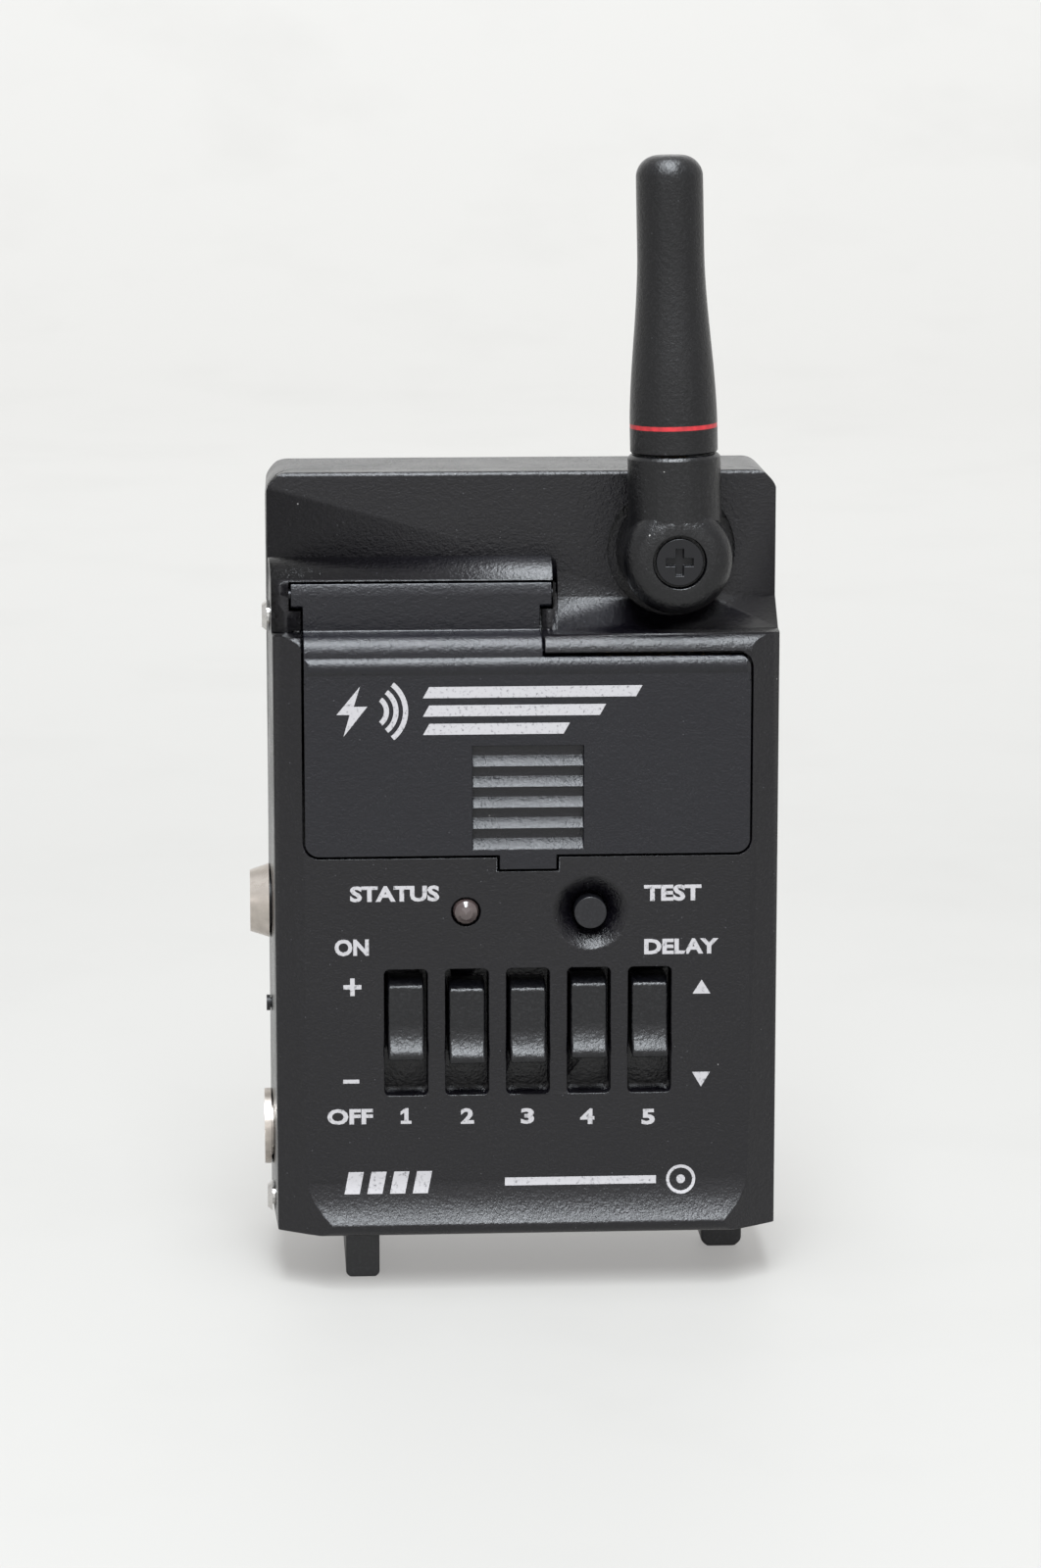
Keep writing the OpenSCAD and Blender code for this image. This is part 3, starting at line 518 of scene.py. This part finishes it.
def lathe(profile, sides=64):
    """Turns (radius, height) points about Z; a zero radius closes the end."""
    bm = bmesh.new()
    rings = []
    for radius, height in profile:
        if radius == 0:
            rings.append([bm.verts.new((0, 0, height * MM))])
        else:
            turn = [2 * math.pi * i / sides for i in range(sides)]
            rings.append([bm.verts.new((radius * MM * math.cos(a), radius * MM * math.sin(a), height * MM))
                          for a in turn])
    for low, high in zip(rings, rings[1:]):
        for i in range(sides):
            j = (i + 1) % sides
            corner = [low[i % len(low)], low[j % len(low)], high[j % len(high)], high[i % len(high)]]
            bm.faces.new(list(dict.fromkeys(corner)))
    return bm


FOOT, FOOT_EDGE = 11.62, 0.2
RING, GROOVE = 14.4, 0.3
heights = list(range(16, 42))
heights += [TIP - DOME + DOME * math.sin(math.radians(a)) for a in range(6, 90, 7)]
profile = [(0, FOOT), (FOOT_R - FOOT_EDGE, FOOT), (FOOT_R, FOOT + FOOT_EDGE),
           (whip_radius(RING), RING), (whip_radius(RING) - GROOVE, RING + 0.02),
           (whip_radius(RING) - GROOVE, RING + 0.48), (whip_radius(RING + 0.5), RING + 0.5)]
profile += [(whip_radius(h), h) for h in heights] + [(0, TIP)]
axis_x = (ring_low.x + ring_high.x) / 2 + (RING + 0.25) * MM * math.sin(LEAN)
axis_y = (ring_low.y + ring_high.y) / 2
base_z = (ring_low.z + ring_high.z) / 2 - (RING + 0.25) * MM * math.cos(LEAN)
lean = Matrix.Translation((axis_x, axis_y, base_z)) @ Matrix.Rotation(-LEAN, 4, "Y")
whip_mesh = to_mesh(lathe(profile), "whip")
whip_mesh.set_sharp_from_angle(angle=math.radians(25))
whip_mesh.transform(lean)
stand_in("whip_turned", whip_mesh, "antenna_whip")
whip_top = max(v.co.z for v in whip_mesh.vertices)
print("whip top %.2f mm, node top %.2f mm" % (whip_top / MM, whip_high.z / MM))

# %% [markdown]
# ## Geometry Nodes for what repeats
#
# The `Tree` class writes a Geometry Nodes tree: named inputs for the sizes,
# one method for any node, and an end in Realize Instances and Set Material.
# Growing it turns the result into a plain mesh, and the modifier is gone
# before the mesh becomes a piece.

# %% Tree
class Tree:
    def __init__(self, name, **sizes):
        self.tree = bpy.data.node_groups.new(name, "GeometryNodeTree")
        self.tree.interface.new_socket("Geometry", in_out="OUTPUT", socket_type="NodeSocketGeometry")
        self.sizes = {}
        for key, number in sizes.items():
            kind = "NodeSocketInt" if isinstance(number, int) else "NodeSocketFloat"
            socket = self.tree.interface.new_socket(key, in_out="INPUT", socket_type=kind)
            self.sizes[socket.identifier] = number
        self.source = self.tree.nodes.new("NodeGroupInput")
        self.sink = self.tree.nodes.new("NodeGroupOutput")

    def size(self, key):
        return self.source.outputs[key]

    def node(self, kind, settings=None, out=0, **sockets):
        node = self.tree.nodes.new(kind)
        for key, setting in (settings or {}).items():
            setattr(node, key, setting)
        for key, item in sockets.items():
            slot = pick_input(node, key)
            for one in item if isinstance(item, list) else [item]:
                if isinstance(one, bpy.types.NodeSocket):
                    self.tree.links.new(one, slot)
                else:
                    slot.default_value = one
        return node.outputs[out]

    def grow(self, last, material):
        whole = self.node("GeometryNodeRealizeInstances", Geometry=last)
        coated = self.node("GeometryNodeSetMaterial", Geometry=whole, Material=material)
        self.tree.links.new(coated, self.sink.inputs[0])
        holder = bpy.data.objects.new("holder", bpy.data.meshes.new("holder"))
        bpy.context.scene.collection.objects.link(holder)
        grower = holder.modifiers.new("grow", "NODES")
        grower.node_group = self.tree
        for key, number in self.sizes.items():
            grower[key] = number
        shown = holder.evaluated_get(bpy.context.evaluated_depsgraph_get())
        mesh = bpy.data.meshes.new_from_object(shown)
        bpy.data.objects.remove(holder)
        return mesh


# %% [markdown]
# The negative contacts are conical springs wound from plated wire, each on
# its own small plate. A spiral curve carries a round section; the two
# springs face each other across the bay.

# %% Contact springs
cell_low, cell_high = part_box("battery_cells")
spring_low, spring_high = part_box("contact_springs")
cell_radius = (cell_high.y - cell_low.y) / 2
cell_rise = (cell_high.z - cell_low.z) / 2 - cell_radius
middle = (cell_low + cell_high) / 2

coil = Tree("wound spring", Turns=4.0, Foot_Radius=3.3 * MM, Top_Radius=2.3 * MM,
            Rise=2.1 * MM, Wire=0.3 * MM)
spiral = coil.node("GeometryNodeCurveSpiral", Resolution=28, Rotations=coil.size("Turns"),
                   Start_Radius=coil.size("Foot_Radius"), End_Radius=coil.size("Top_Radius"),
                   Height=coil.size("Rise"))
section = coil.node("GeometryNodeCurvePrimitiveCircle", Resolution=10, Radius=coil.size("Wire"))
wire = coil.node("GeometryNodeCurveToMesh", Curve=spiral, Profile_Curve=section, Fill_Caps=True)
lifted = coil.node("GeometryNodeTransform", Geometry=wire, Translation=(0, 0, 0.65 * MM))
plate = coil.node("GeometryNodeMeshCube", Size=(8 * MM, 8.8 * MM, 0.4 * MM))
plate = coil.node("GeometryNodeTransform", Geometry=plate, Translation=(0, 0, 0.2 * MM))
spring_mesh = coil.grow(coil.node("GeometryNodeJoinGeometry", Geometry=[lifted, plate]), nickel.material)

both = bmesh.new()
for side in (1, -1):
    copy = spring_mesh.copy()
    wall_x = spring_low.x if side > 0 else spring_high.x
    seat = Matrix.Translation((wall_x, middle.y, middle.z + side * cell_rise))
    copy.transform(seat @ Matrix.Rotation(side * math.pi / 2, 4, "Y"))
    both.from_mesh(copy)
springs = stand_in("springs_wound", to_mesh(both, "springs"), "contact_springs")
WIRE_FACE = 1e-6  # square metres: a face of the wire is smaller, one of the plate larger
for face in springs.data.polygons:
    face.use_smooth = face.area < WIRE_FACE
print("springs:", len(springs.data.polygons), "faces")

# %% [markdown]
# The header between the boards has two rows of square pins. A grid of
# points carries one pin each.

# %% Header pins
head_low, head_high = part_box("board_header")
head_mid = (head_low + head_high) / 2
pins = Tree("header pins", Columns=5, Rows=2, Pitch=2.2 * MM, Row_Gap=1.2 * MM,
            Length=(head_high.y - head_low.y) + 2.2 * MM)
wide = pins.node("ShaderNodeMath", {"operation": "MULTIPLY"}, i0=pins.size("Pitch"), i1=4.0)
grid = pins.node("GeometryNodeMeshGrid", Size_X=wide, Size_Y=pins.size("Row_Gap"),
                 Vertices_X=pins.size("Columns"), Vertices_Y=pins.size("Rows"))
stick_size = pins.node("ShaderNodeCombineXYZ", X=0.5 * MM, Y=0.5 * MM, Z=pins.size("Length"))
stick = pins.node("GeometryNodeMeshCube", Size=stick_size)
row = pins.node("GeometryNodeInstanceOnPoints", Points=grid, Instance=stick)
pin_mesh = pins.grow(row, brass.material)
pin_mesh.transform(Matrix.Translation(head_mid) @ Matrix.Rotation(math.pi / 2, 4, "X"))
header_pins = finish_piece("header_pins", pin_mesh, "case", brass.material)
print("header pins:", len(header_pins.data.polygons), "faces")

# %% [markdown]
# The radio board carries small parts. Points are scattered with a fixed
# seed and kept apart, and every point carries a chip turned by a quarter
# turn or not at all.

# %% Board parts
_, radio_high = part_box("radio_board")
shield_low, shield_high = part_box("radio_shield")
chips = Tree("small parts", Width=(radio_high.x - shield_high.x) - 4 * MM,
             Height=shield_high.z - shield_low.z, Spacing=2.6 * MM, Seed=11)
area = chips.node("GeometryNodeMeshGrid", Size_X=chips.size("Width"), Size_Y=chips.size("Height"),
                  Vertices_X=2, Vertices_Y=2)
spots = chips.node("GeometryNodeDistributePointsOnFaces", {"distribute_method": "POISSON"}, Mesh=area,
                   Distance_Min=chips.size("Spacing"), Density_Max=400000.0, Seed=chips.size("Seed"))
turn = chips.node("FunctionNodeRandomValue", {"data_type": "INT"}, out=2, i4=0, i5=1, Seed=chips.size("Seed"))
angle = chips.node("ShaderNodeMath", {"operation": "MULTIPLY"}, i0=turn, i1=math.pi / 2)
rotation = chips.node("ShaderNodeCombineXYZ", Z=angle)
chip = chips.node("GeometryNodeMeshCube", Size=(1.6 * MM, 0.8 * MM, 0.6 * MM))
strewn = chips.node("GeometryNodeInstanceOnPoints", Points=spots, Instance=chip, Rotation=rotation)
chip_mesh = chips.grow(strewn, black_plastic.material)
chip_place = ((shield_high.x + radio_high.x) / 2, radio_high.y + 0.3 * MM, (shield_low.z + shield_high.z) / 2)
chip_mesh.transform(Matrix.Translation(chip_place) @ Matrix.Rotation(math.pi / 2, 4, "X"))
board_parts = finish_piece("board_parts", chip_mesh, "case", black_plastic.material)
print("board parts:", len(board_parts.data.polygons) // 6)

# %% [markdown]
# ## Printed marks
#
# The control names and signs are pad-printed in white ink, a few hundredths
# of a millimetre thick. Each one is a text curve turned into a mesh, fitted
# to its own width and height, and laid on the control face.

# %% Helpers for printed marks
INK_T = 0.03 * MM
LIP_TOP = BASE_Z / MM + 6.4
LIP_TALL, LIP_OUT = 5.0, 1.8
LIP_R = (LIP_TALL ** 2 + LIP_OUT ** 2) / (2 * LIP_OUT)
LIP_STRIPS, STRIP = 14, 0.35
MARK_SINK = 0.004 * MM


def letters(text, width, height, weight=0.02):
    """A mesh of the text in X and Z, its middle at the origin, width x height in mm."""
    curve = bpy.data.curves.new("letters", "FONT")
    curve.body, curve.offset, curve.resolution_u, curve.extrude = text, weight, 3, 0.01
    holder = bpy.data.objects.new("letters", curve)
    mesh = bpy.data.meshes.new_from_object(holder)
    bpy.data.objects.remove(holder)
    xs = [v.co.x for v in mesh.vertices]
    ys = [v.co.y for v in mesh.vertices]
    cx, cy = (min(xs) + max(xs)) / 2, (min(ys) + max(ys)) / 2
    sx, sy = width * MM / (max(xs) - min(xs)), height * MM / (max(ys) - min(ys))
    for v in mesh.vertices:
        v.co = Vector(((v.co.x - cx) * sx, -INK_T if v.co.z > 0 else 0.0, (v.co.y - cy) * sy))
    return mesh


def flat_shape(points, hole=None):
    """A thin slab over a closed outline of (x, z) points in mm.

    A hole has as many points as the outline.
    """
    bm = bmesh.new()
    outer = [bm.verts.new((x * MM, 0, z * MM)) for x, z in points]
    if hole:
        inner = [bm.verts.new((x * MM, 0, z * MM)) for x, z in hole]
        count = len(outer)
        faces = [bm.faces.new((outer[i], outer[(i + 1) % count], inner[(i + 1) % count], inner[i]))
                 for i in range(count)]
    else:
        faces = [bm.faces.new(outer)]
    made = bmesh.ops.extrude_face_region(bm, geom=faces)
    for v in made["geom"]:
        if isinstance(v, bmesh.types.BMVert):
            v.co.y -= INK_T
    return to_mesh(bm, "shape", smooth=False)


def arc(cx, cz, radius, start, stop, steps=24):
    angles = [math.radians(start + (stop - start) * i / steps) for i in range(steps + 1)]
    return [(cx + radius * math.cos(a), cz + radius * math.sin(a)) for a in angles]


def print_marks(name, parts, body, on_lip=False):
    """parts are (mesh, x, z) in mm; the marks become one piece on the given face."""
    bm = bmesh.new()
    plane = (FACE_Y if body == "case" else DOOR_FACE_Y) - MARK_SINK
    for mesh, x, z in parts:
        mesh.transform(Matrix.Translation((MID_X + x * MM, plane, z * MM)))
        bm.from_mesh(mesh)
    if on_lip:
        for k in range(LIP_STRIPS):
            level = (LIP_TOP - STRIP * k) * MM
            bmesh.ops.bisect_plane(bm, geom=bm.verts[:] + bm.edges[:] + bm.faces[:],
                                   plane_co=(0, 0, level), plane_no=(0, 0, 1))
        for v in bm.verts:
            below = max(0.0, LIP_TOP - v.co.z / MM)
            v.co.y -= (LIP_R - math.sqrt(LIP_R ** 2 - below ** 2)) * MM
    mesh = bpy.data.meshes.new(name)
    bm.to_mesh(mesh)
    bm.free()
    return finish_piece(name, mesh, body, ink.material)


# %% [markdown]
# Plain words and signs name the controls: numbers under the switches, on and
# off, plus and minus, and two arrows. They are the sort found on any such
# box.

# %% Control marks
WORDS = [
    ("STATUS", -14.8, 45.05, 9.9, 1.8), ("TEST", 16.1, 44.8, 6.4, 1.85), ("ON", -19.6, 39.0, 3.8, 1.9),
    ("DELAY", 17.1, 38.7, 8.3, 1.75), ("OFF", -19.9, 19.65, 5.1, 1.8),
    ("2", -6.8, 19.55, 1.5, 1.8), ("3", -0.05, 19.45, 1.5, 1.8),
    ("4", 6.65, 19.3, 1.6, 1.8), ("5", 13.5, 19.15, 1.5, 1.8),
]
ONE = [(-.6, -.9), (.6, -.9), (.6, -.55), (.27, -.55), (.27, .9), (-.12, .9),
       (-.62, .5), (-.62, .12), (-.2, .38), (-.2, -.55), (-.6, -.55)]
PLUS = [(-1, -.25), (-.25, -.25), (-.25, -1), (.25, -1), (.25, -.25), (1, -.25),
        (1, .25), (.25, .25), (.25, 1), (-.25, 1), (-.25, .25), (-1, .25)]
parts = [(letters(word, wide, high, 0.04), x, z) for word, x, z, wide, high in WORDS]
parts.append((flat_shape(ONE), -13.65, 19.65))
parts.append((flat_shape(PLUS), -19.55, 34.5))
parts.append((flat_shape([(-.9, -.22), (.9, -.22), (.9, .22), (-.9, .22)]), -19.75, 23.7))
parts.append((flat_shape([(-1, -.75), (1, -.75), (0, .85)]), 19.4, 34.0))
parts.append((flat_shape([(-1, .85), (0, -.85), (1, .85)]), 19.4, 23.4))
control_marks = print_marks("control_marks", parts, "case")
print("control marks:", len(control_marks.data.polygons), "faces")

# %% [markdown]
# The door and the lip carry plain signs and no name: a flash bolt with radio
# waves and three stripes on the door, and a row of blocks with a ring on the
# lip. The lip's marks are cut into strips and laid on its curve.

# %% Signs on the door and the lip
BOLT = [(0.9, 2.8), (-1.7, -0.35), (-0.25, -0.35), (-0.95, -2.8), (1.7, 0.55), (0.2, 0.55)]
door_signs = [(flat_shape(BOLT), -19.4, 65.6)]
for radius in (1.7, 2.75, 3.8):
    band = arc(0, 0, radius + 0.28, -52, 52) + arc(0, 0, radius - 0.28, 52, -52)
    door_signs.append((flat_shape(band), -17.3, 65.6))
for i, length in enumerate((23.5, 19.5, 15.5)):
    stripe = [(0, -0.62), (length, -0.62), (length + 0.7, 0.62), (0.7, 0.62)]
    door_signs.append((flat_shape(stripe), -11.6, 67.65 - 2.05 * i))
door_marks = print_marks("door_marks", door_signs, "door")

BLOCK = [(0, -1.25), (1.7, -1.25), (2.2, 1.25), (0.5, 1.25)]
lip_signs = [(flat_shape(BLOCK), -20.6 + 2.55 * i, 12.0) for i in range(4)]
lip_signs.append((flat_shape([(0, -0.45), (17.0, -0.45), (17.0, 0.45), (0, 0.45)]), -2.6, 11.9))
ring = arc(0, 0, 1.65, 0, 345, 23)
lip_signs.append((flat_shape(ring, arc(0, 0, 1.3, 0, 345, 23)), 17.2, 11.9))
lip_signs.append((flat_shape(arc(0, 0, 0.5, 0, 337.5, 15)), 17.2, 11.9))
lip_marks = print_marks("lip_marks", lip_signs, "case", on_lip=True)
print("signs:", len(door_marks.data.polygons), len(lip_marks.data.polygons), "faces")
